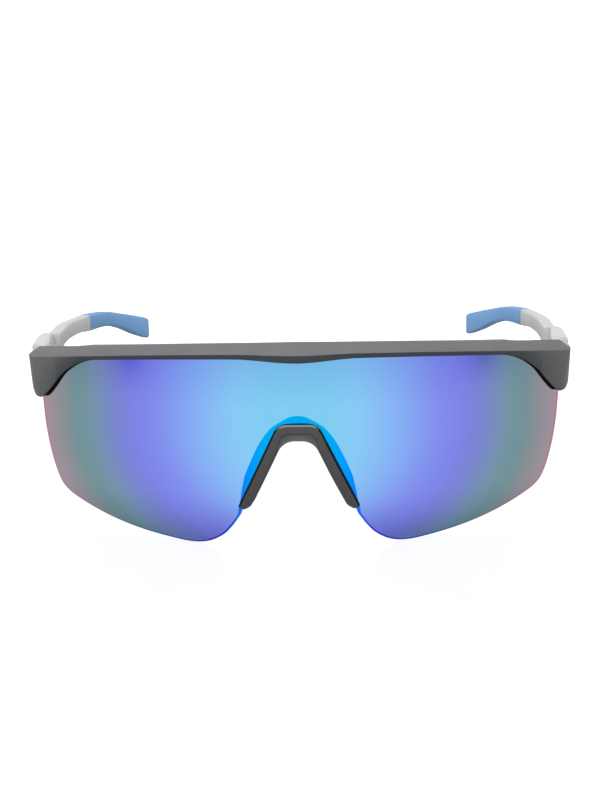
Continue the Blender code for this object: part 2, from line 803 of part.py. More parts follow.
def pin_slot_mesh():
    top = hinge_bottom + hinge_height + seat_gap + pin_head_height
    mesh = bmesh.new()
    reach = 2 * pin_head_radius
    low = (-reach, -pin_slot_width / 2, top - pin_head_height / 2)
    box(mesh, low, (reach, pin_slot_width / 2, top + reach))
    for vert in mesh.verts:
        vert.co += hinge_axis.to_3d()
    return mesh


# Objects

def add_object(name, data, finish=None, parent=None):
    item = bpy.data.objects.new(name, data)
    bpy.context.scene.collection.objects.link(item)
    if finish:
        data.materials.append(finish)
    if parent:
        item.parent = parent
        item.location = -parent.location if parent.name.startswith("temple_axis") else Vector()
    return item


def helper(name, data, parent):
    """A cutter or a lump to be fused: it isn't part of the glasses by itself."""
    item = add_object(name, data, None, parent)
    item.hide_render = True
    item.display_type = "WIRE"
    return item


def combine(target, tool, operation):
    step = target.modifiers.new(f"{operation.lower()}_{tool.name}", "BOOLEAN")
    step.operation = operation
    step.solver = "EXACT"
    step.object = tool


def add_empty(name, location, parent=None):
    empty = bpy.data.objects.new(name, None)
    bpy.context.scene.collection.objects.link(empty)
    empty.location = location
    empty.parent = parent
    return empty


def limit_fold(axis, side, fold):
    """Lets a temple turn only from open to folded: the one that folds last rests on the other."""
    stop = axis.constraints.new("LIMIT_ROTATION")
    stop.owner_space = "LOCAL"
    stop.use_limit_x = stop.use_limit_y = stop.use_limit_z = True
    stop.min_z, stop.max_z = sorted((0.0, math.radians(side * fold)))


def sided(mesh, side):
    """Mirrors a mesh drawn for the wearer's left side where the right one is wanted."""
    for vert in mesh.verts:
        vert.co.x *= side
    return mesh


def resting_place(lens, tips, everything):
    """Tilt that lays the lens's lower edge and the temple tips on one level, and the move to the origin."""
    lens_points = [v.co for v in lens.vertices]
    tip_points = [v.co for data in tips for v in data.vertices]
    tilt = 0.0
    for _ in range(8):
        def height(p):
            return p.z * math.cos(tilt) - p.y * math.sin(tilt)
        front = min(lens_points, key=height)
        rear = min(tip_points, key=height)
        tilt = math.atan2(rear.z - front.z, rear.y - front.y)
    turn = Matrix.Rotation(-tilt, 4, "X")
    points = [turn @ v.co for data in everything for v in data.vertices]
    low = min(p.z for p in points)
    middle = (min(p.y for p in points) + max(p.y for p in points)) / 2
    return tilt, Vector((0.0, -middle, -low))


def build():
    clear_scene()
    frame_grey = (0.105, 0.109, 0.113)
    temple_grey = (0.370, 0.372, 0.376)
    finishes = {
        "frame": material("matte_grey_nylon", frame_grey, 0.48, 0.0),
        "temple": material("light_grey_nylon", temple_grey, 0.50, 0.0),
        "lens": material("blue_mirror_lens", (0.16, 0.29, 0.80), 0.08, 0.85),
        "carrier": material("dark_grey_nylon", (0.060, 0.063, 0.068), 0.5, 0.0),
        "pad": material("grey_rubber", (0.105, 0.108, 0.120), 0.7, 0.0),
        "tip": material("blue_rubber", (0.085, 0.235, 0.480), 0.65, 0.0),
        "steel": material("hinge_steel", (0.50, 0.50, 0.51), 0.32, 1.0),
    }
    rest = add_empty("resting_pose", Vector())

    front = add_object("frame_front", frame_front_mesh("frame_front"), finishes["frame"], rest)
    lens = add_object("lens", lens_mesh("lens"), finishes["lens"], rest)
    lens_space = helper("lens_space", lens_mesh("lens_space", seat_gap), rest)
    combine(front, lens_space, "DIFFERENCE")

    carrier_data = sweep_nose("nose_carrier", carrier_section)
    carrier = add_object("nose_carrier", carrier_data, finishes["carrier"], rest)
    combine(carrier, lens_space, "DIFFERENCE")
    add_object("nose_pad", sweep_nose("nose_pad", pad_section), finishes["pad"], rest)

    tip_meshes = []
    for side, word, fold in ((1, "left", temple_fold_left), (-1, "right", temple_fold_right)):
        hinge = Vector((side * hinge_axis.x, hinge_axis.y, -hinge_drop))
        axis = add_empty(f"temple_axis_{word}", hinge, rest)
        limit_fold(axis, side, fold)
        temple_data = finish_mesh(sided(temple_mesh(), side), f"temple_{word}")
        temple = add_object(f"temple_{word}", temple_data, finishes["temple"], axis)
        tip_data = finish_mesh(sided(tip_mesh(), side), f"temple_tip_{word}")
        tip_meshes.append(tip_data)
        add_object(f"temple_tip_{word}", tip_data, finishes["tip"], axis)
        for which, carried_by, parent in (("front", front, rest), ("temple", temple, axis)):
            add_leaf(which, word, side, carried_by, parent, finishes["steel"])
        pin_data = finish_mesh(sided(pin_mesh(), side), f"hinge_pin_{word}")
        pin = add_object(f"hinge_pin_{word}", pin_data, finishes["steel"], rest)
        slot_data = finish_mesh(sided(pin_slot_mesh(), side), f"pin_slot_{word}")
        slot = helper(f"pin_slot_{word}", slot_data, rest)
        combine(pin, slot, "DIFFERENCE")

    pieces = [item.data for item in bpy.data.objects if item.type == "MESH" and not item.hide_render]
    tilt, move = resting_place(lens.data, tip_meshes, pieces)
    rest.rotation_euler = (-tilt, 0.0, 0.0)
    rest.location = move
    bpy.context.view_layer.update()


def add_leaf(which, word, side, carried_by, parent, steel):
    """Hinge leaf with its knuckles and bores, its two screws, and their holes in the piece under it."""
    plate, added, removed = leaf_parts(which)
    name = f"hinge_leaf_{which}_{word}"
    to_hinge(plate, which)
    leaf = add_object(name, finish_mesh(sided(plate, side), name), steel, parent)
    for operation, lumps in (("UNION", added), ("DIFFERENCE", removed)):
        for i, lump in enumerate(lumps):
            to_hinge(lump, which)
            tool_name = f"{name}_{operation.lower()}_{i}"
            tool = helper(tool_name, finish_mesh(sided(lump, side), tool_name), parent)
            combine(leaf, tool, operation)
    seat = leaf_frames[which][2]
    for height, level in zip(screw_heights, ("lower", "upper")):
        screw = screw_mesh(which, height)
        to_hinge(screw, which)
        screw_name = f"leaf_screw_{which}_{word}_{level}"
        add_object(screw_name, finish_mesh(sided(screw, side), screw_name), steel, parent)
        hole = screw_hole(seat - leaf_thickness, seat + screw_bite + seat_gap, height)
        to_hinge(hole, which)
        hole_name = f"{screw_name}_hole"
        tool = helper(hole_name, finish_mesh(sided(hole, side), hole_name), parent)
        combine(carried_by, tool, "DIFFERENCE")


build()
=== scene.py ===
import math

import bpy
from mathutils import Matrix, Vector


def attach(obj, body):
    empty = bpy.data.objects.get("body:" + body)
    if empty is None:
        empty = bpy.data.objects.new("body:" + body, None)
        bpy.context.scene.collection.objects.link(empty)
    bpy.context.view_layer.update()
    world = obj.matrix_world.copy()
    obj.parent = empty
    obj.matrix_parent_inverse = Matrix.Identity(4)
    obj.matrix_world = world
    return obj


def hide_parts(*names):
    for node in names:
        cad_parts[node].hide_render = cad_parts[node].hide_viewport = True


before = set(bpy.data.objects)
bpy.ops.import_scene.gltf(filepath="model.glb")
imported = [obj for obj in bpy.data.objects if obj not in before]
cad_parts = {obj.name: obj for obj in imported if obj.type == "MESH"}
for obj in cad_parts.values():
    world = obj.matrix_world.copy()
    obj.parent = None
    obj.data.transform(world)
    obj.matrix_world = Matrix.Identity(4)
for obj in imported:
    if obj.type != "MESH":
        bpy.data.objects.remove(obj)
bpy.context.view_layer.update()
scene = bpy.context.scene
scene.view_settings.view_transform = "Standard"


# Camera: where the photograph was taken from
# It looks down on the open pair from in front, a little from the wearer's left, with a long lens.

camera_place = Vector((0.01223, -0.54930, 0.24645))
camera_right = Vector((0.99968, 0.01555, -0.01992))
camera_up = Vector((0.01212, 0.39643, 0.91799))
camera_sensor = 36.0
camera_lens = 124.74

camera_back = camera_right.cross(camera_up)
camera = bpy.data.objects.new("camera", bpy.data.cameras.new("camera"))
scene.collection.objects.link(camera)
scene.camera = camera
camera.matrix_world = Matrix((
    (camera_right.x, camera_up.x, camera_back.x, camera_place.x),
    (camera_right.y, camera_up.y, camera_back.y, camera_place.y),
    (camera_right.z, camera_up.z, camera_back.z, camera_place.z),
    (0.0, 0.0, 0.0, 1.0),
))
camera.data.sensor_fit = "HORIZONTAL"
camera.data.sensor_width = camera_sensor
camera.data.lens = camera_lens


# White surround
# A light tent: plain white to the camera and in reflections, and a softer light on everything inside it. Its
# front gives less light, two bright panels stand low at its sides, and a softbox hangs in its roof, in front
# of the pair and a little to the photo's left.

tent_light = 0.60
tent_front_share = 0.50
tent_full_height = 0.50
tent_side_start = -0.95
tent_side_full = -0.45
side_panel_light = 2.75
side_panel_start = 0.40
side_panel_full = 0.80
side_panel_top = 0.28
side_panel_fade = -0.05
softbox_place = (-0.12, -0.55, 1.00)
softbox_tilt = math.radians(30)
softbox_size = 0.70
softbox_watts = 8.6


def maths(nodes, links, operation, *values):
    """One sum on plain numbers or on what other nodes put out."""
    step = nodes.new("ShaderNodeMath")
    step.operation = operation
    for socket, value in zip(step.inputs, values):
        if isinstance(value, bpy.types.NodeSocket):
            links.new(value, socket)
        else:
            socket.default_value = value
    return step.outputs[0]


def ranged(nodes, links, value, start, end, low, high):
    """Goes evenly from low to high while a value goes from start to end, and no further."""
    span = nodes.new("ShaderNodeMapRange")
    for name, number in (("From Min", start), ("From Max", end), ("To Min", low), ("To Max", high)):
        span.inputs[name].default_value = number
    links.new(value, span.inputs["Value"])
    return span.outputs["Result"]


surround = bpy.data.worlds.new("light_tent")
scene.world = surround
surround.use_nodes = True
nodes, links = surround.node_tree.nodes, surround.node_tree.links
background = nodes["Background"]
background.inputs["Color"].default_value = (1.0, 1.0, 1.0, 1.0)
way = nodes.new("ShaderNodeSeparateXYZ")
links.new(nodes.new("ShaderNodeTexCoord").outputs["Generated"], way.inputs["Vector"])
roof_share = ranged(nodes, links, way.outputs["Z"], 0.0, tent_full_height, 0.0, 1.0)
side_share = ranged(nodes, links, way.outputs["Y"], tent_side_start, tent_side_full, 0.0, 1.0)
wall_share = maths(nodes, links, "MAXIMUM", roof_share, side_share)
wall_light = ranged(nodes, links, wall_share, 0.0, 1.0, tent_light * tent_front_share, tent_light)
aside = maths(nodes, links, "ABSOLUTE", way.outputs["X"])
panel_light = ranged(nodes, links, aside, side_panel_start, side_panel_full, 0.0, side_panel_light)
panel_share = ranged(nodes, links, way.outputs["Z"], side_panel_top, side_panel_fade, 0.0, 1.0)
all_light = maths(nodes, links, "MULTIPLY_ADD", panel_light, panel_share, wall_light)
ray = nodes.new("ShaderNodeLightPath")
seen = maths(nodes, links, "MAXIMUM", ray.outputs["Is Camera Ray"], ray.outputs["Is Glossy Ray"])
seen = maths(nodes, links, "MAXIMUM", seen, ray.outputs["Is Transmission Ray"])
strength = nodes.new("ShaderNodeMix")
strength.inputs["B"].default_value = 1.0
links.new(seen, strength.inputs["Factor"])
links.new(all_light, strength.inputs["A"])
links.new(strength.outputs["Result"], background.inputs["Strength"])

bpy.ops.object.light_add(type="AREA", location=softbox_place, rotation=(softbox_tilt, 0.0, 0.0))
softbox = bpy.context.active_object
softbox.name = "softbox"
softbox.data.size = softbox_size
softbox.data.energy = softbox_watts


# Table
# A sheet of white acrylic under the pair. It shines white of itself to the camera and in reflections, keeps
# the faint shadow where the lens and the temple tips touch it, and throws more light up behind the lens than
# in front of it.

table_size = 4.0
table_cuts = 4
table_glow = 0.92
table_grey = 0.05
table_grey_behind = 0.35
table_grey_start = 0.00
table_grey_full = 0.05
table_roughness = 0.25

bpy.ops.object.select_all(action="DESELECT")
bpy.ops.mesh.primitive_grid_add(x_subdivisions=table_cuts, y_subdivisions=table_cuts, size=table_size)
table = bpy.context.active_object
table.name = "table"
acrylic = bpy.data.materials.new("white_acrylic")
acrylic.use_nodes = True
table.data.materials.append(acrylic)
nodes, links = acrylic.node_tree.nodes, acrylic.node_tree.links
shader = nodes["Principled BSDF"]
shader.inputs["Roughness"].default_value = table_roughness
spot = nodes.new("ShaderNodeSeparateXYZ")
links.new(nodes.new("ShaderNodeTexCoord").outputs["Object"], spot.inputs["Vector"])
table_tone = ranged(nodes, links, spot.outputs["Y"], table_grey_start, table_grey_full,
                    table_grey, table_grey_behind)
links.new(table_tone, shader.inputs["Base Color"])
shader.inputs["Emission Color"].default_value = (1.0, 1.0, 1.0, 1.0)
ray = nodes.new("ShaderNodeLightPath")
glow = maths(nodes, links, "MULTIPLY", ray.outputs["Is Camera Ray"], table_glow)
links.new(glow, shader.inputs["Emission Strength"])
mirrored = maths(nodes, links, "MAXIMUM", ray.outputs["Is Glossy Ray"], ray.outputs["Is Transmission Ray"])
white = nodes.new("ShaderNodeEmission")
either = nodes.new("ShaderNodeMixShader")
links.new(mirrored, either.inputs["Fac"])
links.new(shader.outputs["BSDF"], either.inputs[1])
links.new(white.outputs["Emission"], either.inputs[2])
links.new(either.outputs["Shader"], nodes["Material Output"].inputs["Surface"])


# Brow bar and end pieces
# One moulding of grey nylon over the top of the lens, with a dropped end piece at each side that carries a
# hinge. Its tool was spark-eroded, so it comes out of the mould with a fine matte grain.

bar_edge_round = 0.00022
bar_round_steps = 2
bar_smooth_angle = 32.0
bar_grey = (104, 106, 108)
bar_grey_light = (114, 116, 118)
bar_roughness = 0.52
temple_grey = (202, 203, 204)
temple_grey_light = (210, 211, 212)
temple_roughness = 0.50
nylon_pits_per_metre = 3800.0
nylon_pit_depth = 0.000012
mould_shine = 0.12
shine_spread = 0.06
pit_detail = 3.0
pit_roughness = 0.6
tones_per_metre = 140.0
tone_detail = 2.0
weld_distance = 0.000002
join_turn = math.radians(20)
join_skew = math.radians(120)
worn_move = Vector((0.0, -0.0432833, 0.0415871))
worn_tilt = math.radians(-11.0808)
# Where the painted light on the tops of the end pieces, behind their fronts, begins
painted_light_start = 0.0663
painted_light_front = 0.0007
painted_light_foot = 0.0008
top_round = 0.0008
top_round_steps = 5
top_round_end = 0.0600
top_round_forward = -0.20
top_round_turn = 0.30
top_round_rise = 0.25
end_fill = 0.0006
end_fill_start = 0.0640
end_fill_run = 0.0040
end_fill_depth = 0.0080


def light_value(level):
    """Linear value of a display level from 0 to 255."""
    share = level / 255
    return share / 12.92 if share <= 0.04045 else ((share + 0.055) / 1.055) ** 2.4


def colour(levels):
    """Shader colour of three display levels."""
    return (*[light_value(level) for level in levels], 1.0)


def working_copy(node_name, piece_name):
    """A welded copy of a node's mesh, as a new piece that is alone in the selection."""
    bpy.ops.object.select_all(action="DESELECT")
    piece = bpy.data.objects.new(piece_name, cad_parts[node_name].data.copy())
    scene.collection.objects.link(piece)
    piece.data.materials.clear()
    bpy.context.view_layer.objects.active = piece
    piece.select_set(True)
    bpy.ops.mesh.customdata_custom_splitnormals_clear()
    bpy.ops.object.mode_set(mode="EDIT")
    bpy.ops.mesh.select_all(action="SELECT")
    bpy.ops.mesh.remove_doubles(threshold=weld_distance)
    bpy.ops.mesh.dissolve_degenerate(threshold=weld_distance)
    bpy.ops.mesh.tris_convert_to_quads(face_threshold=join_turn, shape_threshold=join_skew)
    bpy.ops.object.mode_set(mode="OBJECT")
    return piece


def round_edges(piece, width, segments, angle):
    """Rounds every edge sharper than the angle, and smooths the faces between."""
    bevel = piece.modifiers.new("edge_round", "BEVEL")
    bevel.width = width
    bevel.segments = segments
    bevel.limit_method = "ANGLE"
    bevel.angle_limit = math.radians(angle)
    bevel.use_clamp_overlap = True
    bevel.miter_outer = "MITER_ARC"
    bpy.ops.object.modifier_apply(modifier=bevel.name)
    bpy.ops.object.shade_smooth_by_angle(angle=math.radians(angle))


def on_top_edge(middle, first, second):
    """The edge between the upper facet and the top, which both rise, as far out as its round goes."""
    forward, other = sorted((first.y, second.y))
    turns = forward < top_round_forward and other > forward + top_round_turn
    return abs(middle.x) < top_round_end and turns and min(first.z, second.z) > top_round_rise


def soften(piece, width, segments, picks):
    """A broader round on the edges picked by their middle and their two faces' normals, as worn."""
    turn = to_worn.to_3x3()
    normals = {}
    for face in piece.data.polygons:
        for key in face.edge_keys:
            normals.setdefault(key, []).append(turn @ face.normal)
    corners = piece.data.vertices
    bpy.ops.object.mode_set(mode="EDIT")
    bpy.ops.mesh.select_mode(type="EDGE")
    bpy.ops.mesh.select_all(action="DESELECT")
    bpy.ops.object.mode_set(mode="OBJECT")
    for edge in piece.data.edges:
        middle = to_worn @ ((corners[edge.vertices[0]].co + corners[edge.vertices[1]].co) / 2)
        edge.select = picks(middle, *normals[edge.key])
    bpy.ops.object.mode_set(mode="EDIT")
    bpy.ops.mesh.bevel(offset=width, segments=segments, affect="EDGES", clamp_overlap=True)
    bpy.ops.object.mode_set(mode="OBJECT")


def new_finish(name):
    """A material with its node tree's nodes and links, its shader and its object coordinates."""
    finish = bpy.data.materials.new(name)
    finish.use_nodes = True
    tree = finish.node_tree
    place = tree.nodes.new("ShaderNodeTexCoord").outputs["Object"]
    return finish, tree.nodes, tree.links, tree.nodes["Principled BSDF"], place


def noise(nodes, links, place, scale, detail):
    """A value that changes over the surface, with so many blotches per metre."""
    blotches = nodes.new("ShaderNodeTexNoise")
    blotches.inputs["Scale"].default_value = scale
    blotches.inputs["Detail"].default_value = detail
    links.new(place, blotches.inputs["Vector"])
    return blotches.outputs["Fac"]


def two_tone(nodes, links, share, dark, light):
    """A colour between a dark and a light tone, as a share says."""
    tones = nodes.new("ShaderNodeMix")
    tones.data_type = "RGBA"
    tones.inputs["A"].default_value = colour(dark)
    tones.inputs["B"].default_value = colour(light)
    links.new(share, tones.inputs["Factor"])
    return tones.outputs["Result"]


# Moulded grain, used by every nylon and rubber piece: a fine pitted surface and a slow change of tone
grain = bpy.data.node_groups.new("moulded_grain", "ShaderNodeTree")
for socket, kind in (("Place", "NodeSocketVector"), ("Pits per Metre", "NodeSocketFloat")):
    grain.interface.new_socket(name=socket, in_out="INPUT", socket_type=kind)
for socket in ("Pits", "Tone"):
    grain.interface.new_socket(name=socket, in_out="OUTPUT", socket_type="NodeSocketFloat")
grain_in = grain.nodes.new("NodeGroupInput")
grain_out = grain.nodes.new("NodeGroupOutput")
pits = grain.nodes.new("ShaderNodeTexNoise")
pits.inputs["Detail"].default_value = pit_detail
pits.inputs["Roughness"].default_value = pit_roughness
grain.links.new(grain_in.outputs["Place"], pits.inputs["Vector"])
grain.links.new(grain_in.outputs["Pits per Metre"], pits.inputs["Scale"])
grain.links.new(pits.outputs["Fac"], grain_out.inputs["Pits"])
tone = noise(grain.nodes, grain.links, grain_in.outputs["Place"], tones_per_metre, tone_detail)
grain.links.new(tone, grain_out.inputs["Tone"])


def moulded_finish(name, dark, light, roughness, pits_per_metre, pit_depth):
    """Nylon or rubber straight from the mould: two close tones, a broken shine and fine pits."""
    finish, nodes, links, shader, place = new_finish(name)
    surface = nodes.new("ShaderNodeGroup")
    surface.node_tree = grain
    surface.inputs["Pits per Metre"].default_value = pits_per_metre
    links.new(place, surface.inputs["Place"])
    tones = two_tone(nodes, links, surface.outputs["Tone"], dark, light)
    links.new(tones, shader.inputs["Base Color"])
    shine = ranged(nodes, links, surface.outputs["Pits"], 0.0, 1.0,
                   roughness - shine_spread, roughness + shine_spread)
    links.new(shine, shader.inputs["Roughness"])
    bump = nodes.new("ShaderNodeBump")
    bump.inputs["Distance"].default_value = pit_depth
    links.new(surface.outputs["Pits"], bump.inputs["Height"])
    links.new(bump.outputs["Normal"], shader.inputs["Normal"])
    shader.inputs["Specular IOR Level"].default_value = mould_shine
    return finish


# The pair stands tilted on the low edge of its lens and its tips, and its shapes are measured as it is worn
from_worn = Matrix.Translation(worn_move) @ Matrix.Rotation(worn_tilt, 4, "X")
to_worn = from_worn.inverted()

brow_bar = working_copy("frame_front", "brow_bar")
soften(brow_bar, top_round, top_round_steps, on_top_edge)
round_edges(brow_bar, bar_edge_round, bar_round_steps, bar_smooth_angle)
# The lower outer edge of each end piece is a little fuller than its solid
for vertex in brow_bar.data.vertices:
    worn = to_worn @ vertex.co
    share = min(max((abs(worn.x) - end_fill_start) / end_fill_run, 0.0), 1.0)
    share *= min(max(-worn.z / end_fill_depth, 0.0), 1.0)
    vertex.co.x += math.copysign(end_fill * share, worn.x)
bar_nylon = moulded_finish("grey_nylon", bar_grey, bar_grey_light, bar_roughness,
                           nylon_pits_per_metre, nylon_pit_depth)
temple_nylon = moulded_finish("light_grey_nylon", temple_grey, temple_grey_light, temple_roughness,
                              nylon_pits_per_metre, nylon_pit_depth)
brow_bar.data.materials.append(bar_nylon)
brow_bar.data.materials.append(temple_nylon)
# Painted light: the faces of the hinge lugs behind the end pieces take the temples' light grey, for the light
# that falls on their tops from above and behind
for face in brow_bar.data.polygons:
    middle = to_worn @ face.center
    if abs(middle.x) > painted_light_start and middle.y > painted_light_front and middle.z > painted_light_foot:
        face.material_index = 1
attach(brow_bar, "front")
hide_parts("frame_front")


# Lens
# One moulded shield of tinted polycarbonate, curved both ways, with a blue mirror coating on its front. The
# coating turns from cyan through violet to grey-green and rose where the shield wraps round. It slides into
# the bar's groove, and a broad polished bevel runs round the nose notch.

lens_half = 0.0681
lens_drop = 0.0454
lens_thickness = 0.0020
lens_land = 0.0007
lens_wrap_radius = 0.0900
lens_side_radius = 0.1100
lens_equator_drop = 0.0100
lens_edge_setback = 0.0012
notch_bevel = 0.0028
rim_width = 0.00045
rim_depth = 0.00018
rim_turn = math.radians(38)
bar_half = 0.07125
bar_arch = 0.00585
bar_arch_curve = 2.5
bar_lip = 0.0018
bridge_bump = 0.0011
bridge_half_width = 0.0160
groove_depth = 0.0019
groove_depth_end = 0.0013
lens_steps_per_span = 8
lens_rows = 16
# Lower edge from the middle of the notch to the side, in shares of half the width and of the drop, with the
# width of the bevel there as a share of the notch's
lens_edge = [
    (0.0000, 0.2260, 1.000), (0.0250, 0.2310, 0.950), (0.0458, 0.2450, 0.840), (0.0758, 0.2715, 0.680),
    (0.1045, 0.3050, 0.700), (0.1460, 0.3940, 0.900), (0.1935, 0.5518, 0.900), (0.2060, 0.6196, 0.780),
    (0.2142, 0.6848, 0.480), (0.2195, 0.7533, 0.330), (0.2230, 0.8060, 0.150), (0.2372, 0.8455, 0.110),
    (0.2585, 0.8920, 0.105), (0.2919, 0.9450, 0.115),
    (0.3455, 0.9879, 0.146), (0.4097, 0.9996, 0.146), (0.4993, 0.9824, 0.146), (0.6167, 0.9482, 0.146),
    (0.7342, 0.8987, 0.146), (0.8443, 0.8348, 0.146), (0.9119, 0.7797, 0.146), (0.9442, 0.7115, 0.146),
    (0.9721, 0.5749, 0.146), (0.9897, 0.4229, 0.146), (1.0000, 0.2450, 0.146),
]
# Upper outer corner, inside the end piece, for the last rows above
lens_corner = [
    (0.895, 0.010), (0.941, 0.050), (0.969, 0.103), (0.986, 0.158), (0.997, 0.212),
]
side_row = -1
rim_full_bevel = 0.45
rim_fade = 0.20
rim_least = 0.10
coating_bend_start = -0.0160
coating_bend_run = 0.0240
coating_bend_curve = 1.8
coating_bend_middle = 0.0205
coating_bend_loss = -0.21
# Painted reflection of the bar across the top of the lens
bar_reflection_tint = (0.79, 0.77, 0.90)
bar_reflection_full = 0.0045
bar_reflection_end = -0.0085
bar_reflection_curve = 1.1
low_tint = (0.56, 0.58, 0.66)
low_tint_start = -0.0310
low_tint_run = 0.0130
low_tint_curve = 1.6
violet_tint = (0.52, 0.50, 0.88)
violet_place = 0.0452
violet_shift = 0.0026
violet_half_width = 0.0090
violet_start = -0.0060
violet_run = 0.0095
violet_curve = 1.5
bounce_grey = 0.10
haze_per_metre = 60.0
haze_detail = 3.0
mirror_polish = 0.045
mirror_haze = 0.075
edge_roughness = 0.16
smoke_dark = (34, 36, 42)
smoke_light = (42, 45, 52)
smoke_per_metre = 25.0
smoke_detail = 2.0
back_roughness = 0.06

coating_cyan = (129, 205, 242)
coating_sky = (136, 198, 245)
coating_cornflower = (132, 158, 241)
coating_violet = (124, 132, 224)
coating_teal = (117, 146, 170)
coating_sage = (119, 144, 151)
coating_rose = (162, 140, 151)
coating_steps = [
    (0.0060, coating_cyan), (0.0170, coating_sky), (0.0310, coating_cornflower), (0.0430, coating_violet),
    (0.0535, coating_teal), (0.0590, coating_sage), (0.0680, coating_rose),
]
edge_cyan = (0, 172, 242)
edge_azure = (0, 140, 250)
edge_royal = (30, 88, 214)
edge_indigo = (34, 46, 178)
edge_slate = (80, 104, 122)
edge_rose = (172, 102, 126)
edge_steps = [
    (0.0080, edge_cyan), (0.0138, edge_azure), (0.0165, edge_royal), (0.0215, edge_indigo),
    (0.0420, edge_slate), (0.0680, edge_rose),
]
coating_reach = 0.0700

wrap_middle = lens_edge_setback + math.sqrt(lens_wrap_radius**2 - lens_half**2)


def through(rows, share):
    """Values at a share of the way through a table, on smooth curves. Each row is a place and its values."""
    last = len(rows) - 1
    index = 0
    while index < last - 1 and rows[index + 1][0] < share:
        index += 1
    before, low = rows[max(index - 1, 0)], rows[index]
    high, after = rows[index + 1], rows[min(index + 2, last)]
    span = high[0] - low[0]
    t = min(max((share - low[0]) / span, 0.0), 1.0)
    values = []
    for k in range(1, len(low)):
        slope_low = (high[k] - before[k]) / (high[0] - before[0]) * span
        slope_high = (after[k] - low[k]) / (after[0] - low[0]) * span
        values.append((2 * t**3 - 3 * t**2 + 1) * low[k] + (t**3 - 2 * t**2 + t) * slope_low
                      + (3 * t**2 - 2 * t**3) * high[k] + (t**3 - t**2) * slope_high)
    return values


def groove_line(x):
    """Height of the bottom of the bar's groove, where the top of the lens sits."""
    share = x / bar_half
    into_bridge = min(x / bridge_half_width, 1.0)
    bump = 1.0 - into_bridge * into_bridge * (3.0 - 2.0 * into_bridge)
    lip = bar_arch * (1.0 - share**bar_arch_curve) - bar_lip - bridge_bump * bump
    return lip + groove_depth + (groove_depth_end - groove_depth) * share


def on_lens(x, z, depth):
    """Place in the worn lens at a depth below its front, and the way its surface faces there."""
    radius = lens_wrap_radius - depth
    back = math.sqrt(radius**2 - x * x)
    rise = z + lens_equator_drop
    deep = math.sqrt(lens_side_radius**2 - rise**2)
    facing = Vector((x / back, -1.0, rise / deep)).normalized()
    return Vector((x, wrap_middle - back + lens_side_radius - deep, z)), facing


def lens_column(i):
    """One column of the lens, down its front, over the rim and up its back.

    Each row has its place, the way the surface faces, the way the rim faces, and how rounded the rim is.
    """
    spans = len(lens_edge) - 1
    rows = [(k / spans, *row) for k, row in enumerate(lens_edge)]
    # A mirror image of the first step lies before the middle, so that the edge runs level through it
    rows.insert(0, (-rows[1][0], -rows[1][1], *rows[1][2:]))
    share = i / (spans * lens_steps_per_span)
    step = 0.5 / (spans * lens_steps_per_span)
    across, down, bevel_share = through(rows, share)
    ahead = through(rows, min(share + step, 1.0))
    behind = through(rows, max(share - step, 0.0))
    edge = Vector((across * lens_half, -down * lens_drop))
    out = Vector(((behind[1] - ahead[1]) * lens_drop, (behind[0] - ahead[0]) * lens_half)).normalized()
    if i == 0:
        out = Vector((0.0, -1.0))
    into_corner = i / lens_steps_per_span - (spans - len(lens_corner))
    if into_corner <= 0:
        top = Vector((edge.x, groove_line(edge.x)))
    else:
        corner_x = lens_edge[-len(lens_corner) - 1][0]
        corner = [(0.0, corner_x, -groove_line(corner_x * lens_half) / lens_drop)]
        corner += [(k + 1.0, *row) for k, row in enumerate(lens_corner)]
        across, down = through(corner, into_corner)
        top = Vector((across * lens_half, -down * lens_drop))
    rounding = min(max((rim_full_bevel - bevel_share) / rim_fade, rim_least), 1.0)
    rim = edge - out * rim_width * rounding
    foot = edge + out * bevel_share * notch_bevel
    sideways = Vector((out.x, 0.0, out.y))
    front = [(top.lerp(rim, k / lens_rows), 0.0) for k in range(lens_rows + 1)]
    rim_rows = [(edge, rim_depth * rounding), (foot, lens_thickness - lens_land)]
    back = [(top.lerp(foot, k / lens_rows), lens_thickness) for k in reversed(range(lens_rows + 1))]
    return [(*on_lens(p.x, p.y, depth), sideways, rounding) for p, depth in front + rim_rows + back]


half_columns = [lens_column(i) for i in range((len(lens_edge) - 1) * lens_steps_per_span + 1)]
flip = Matrix.Scale(-1.0, 3, Vector((1.0, 0.0, 0.0)))
other_half = [
    [(flip @ place, flip @ facing, flip @ sideways, rounding) for place, facing, sideways, rounding in column]
    for column in reversed(half_columns[1:])
]
columns = other_half + half_columns
per_column = len(half_columns[0])
rim_row, bevel_row, land_row, last_row = lens_rows, lens_rows + 1, lens_rows + 2, per_column - 1
faces, face_rows = [], []
for c in range(len(columns) - 1):
    for r in range(per_column):
        ring = (r, (r + 1) % per_column)
        faces.append([c * per_column + r for r in ring] + [(c + 1) * per_column + r for r in reversed(ring)])
        face_rows.append(r)
for c in (0, len(columns) - 1):
    for r in range(lens_rows):
        faces.append([c * per_column + k for k in (r, r + 1, last_row - r - 1, last_row - r)])
        face_rows.append(side_row)
    faces.append([c * per_column + k for k in (rim_row, bevel_row, land_row, land_row + 1)])
    face_rows.append(side_row)

bpy.ops.object.select_all(action="DESELECT")
shield = bpy.data.objects.new("shield_lens", bpy.data.meshes.new("shield_lens"))
scene.collection.objects.link(shield)
shield.data.from_pydata([from_worn @ row[0] for column in columns for row in column], [], faces)
bpy.context.view_layer.objects.active = shield
shield.select_set(True)
bpy.ops.object.mode_set(mode="EDIT")
bpy.ops.mesh.select_all(action="SELECT")
bpy.ops.mesh.normals_make_consistent(inside=False)
bpy.ops.object.mode_set(mode="OBJECT")
bpy.ops.object.shade_smooth()

